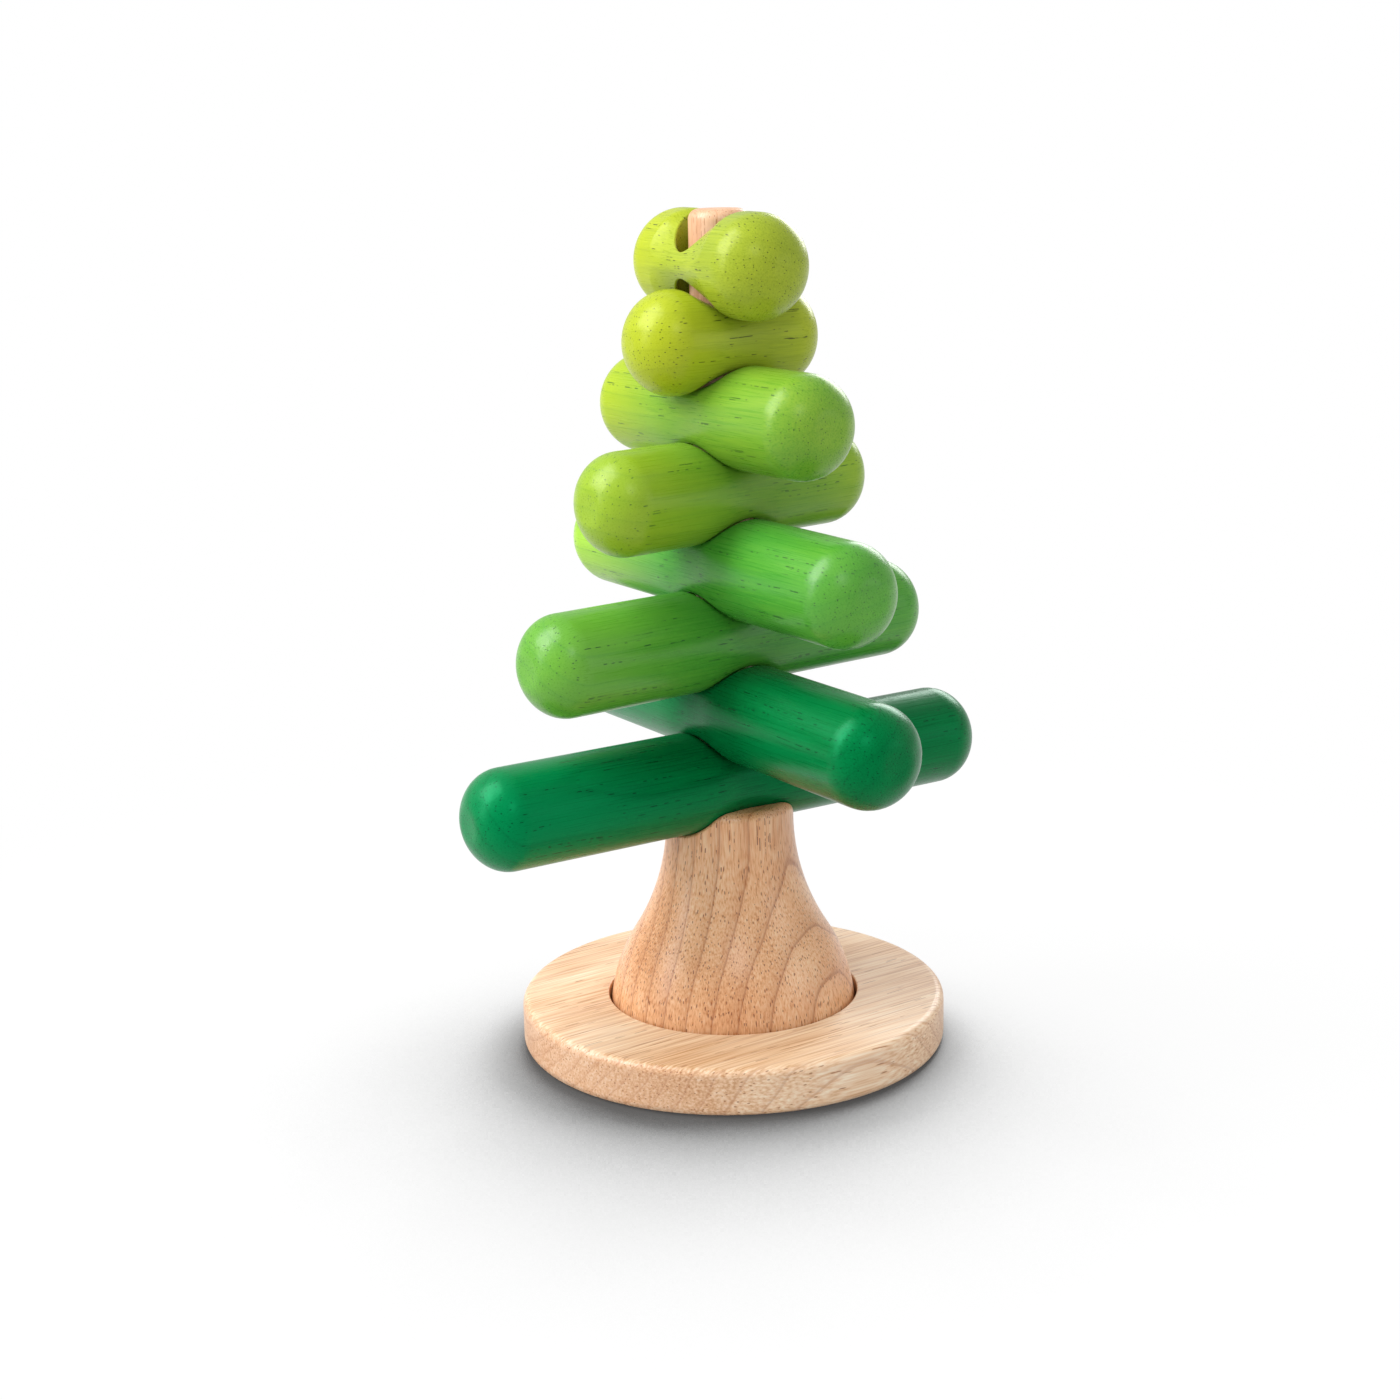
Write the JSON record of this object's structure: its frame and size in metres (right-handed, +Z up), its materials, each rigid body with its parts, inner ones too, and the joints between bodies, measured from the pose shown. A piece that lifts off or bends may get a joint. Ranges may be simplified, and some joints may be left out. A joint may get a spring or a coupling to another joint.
{
  "type": "stacking tree toy",
  "caption": "Stacking tree toy: a round wooden disc and bell trunk with a rod, on which crossed, dyed bars with waisted middles are stacked into a tree that tapers upwards.",
  "frame": {"origin": "centre of the underside of the disc, on the axis of the rod", "axes": "+Z up along the rod; -Y is the front that the picture sees, +X is its right"},
  "size_m": [0.1638, 0.1534, 0.265],
  "materials": {
    "rubberwood": "turned and sanded bare wood with a thin satin lacquer",
    "dark_green": "dark green wood dye under satin lacquer",
    "mid_green": "mid green wood dye under satin lacquer",
    "light_green": "light green wood dye under satin lacquer",
    "lime_green": "lime green wood dye under satin lacquer"
  },
  "bodies": {
    "disc": {"base_disc": "rubberwood"},
    "trunk": {"trunk": "rubberwood", "rod": "rubberwood"},
    "branch_1": {"branch_1": "dark_green"},
    "branch_2": {"branch_2": "dark_green"},
    "branch_3": {"branch_3": "mid_green"},
    "branch_4": {"branch_4": "mid_green"},
    "branch_5": {"branch_5": "light_green"},
    "branch_6": {"branch_6": "light_green"},
    "branch_7": {"branch_7": "lime_green"},
    "branch_8": {"branch_8": "lime_green"}
  },
  "joints": [
    {"name": "trunk_lift", "type": "slide", "parent": "disc", "child": "trunk", "axis": [0, 0, 1], "range_m": [0, 0.015]},
    {"name": "branch_1_lift", "type": "slide", "parent": "trunk", "child": "branch_1", "axis": [0, 0, 1], "range_m": [0, 0.196]},
    {"name": "branch_2_lift", "type": "slide", "parent": "branch_1", "child": "branch_2", "axis": [0, 0, 1], "range_m": [0, 0.173]},
    {"name": "branch_3_lift", "type": "slide", "parent": "branch_2", "child": "branch_3", "axis": [0, 0, 1], "range_m": [0, 0.15]},
    {"name": "branch_4_lift", "type": "slide", "parent": "branch_3", "child": "branch_4", "axis": [0, 0, 1], "range_m": [0, 0.127]},
    {"name": "branch_5_lift", "type": "slide", "parent": "branch_4", "child": "branch_5", "axis": [0, 0, 1], "range_m": [0, 0.104]},
    {"name": "branch_6_lift", "type": "slide", "parent": "branch_5", "child": "branch_6", "axis": [0, 0, 1], "range_m": [0, 0.08]},
    {"name": "branch_7_lift", "type": "slide", "parent": "branch_6", "child": "branch_7", "axis": [0, 0, 1], "range_m": [0, 0.058]},
    {"name": "branch_8_lift", "type": "slide", "parent": "branch_7", "child": "branch_8", "axis": [0, 0, 1], "range_m": [0, 0.035]}
  ]
}
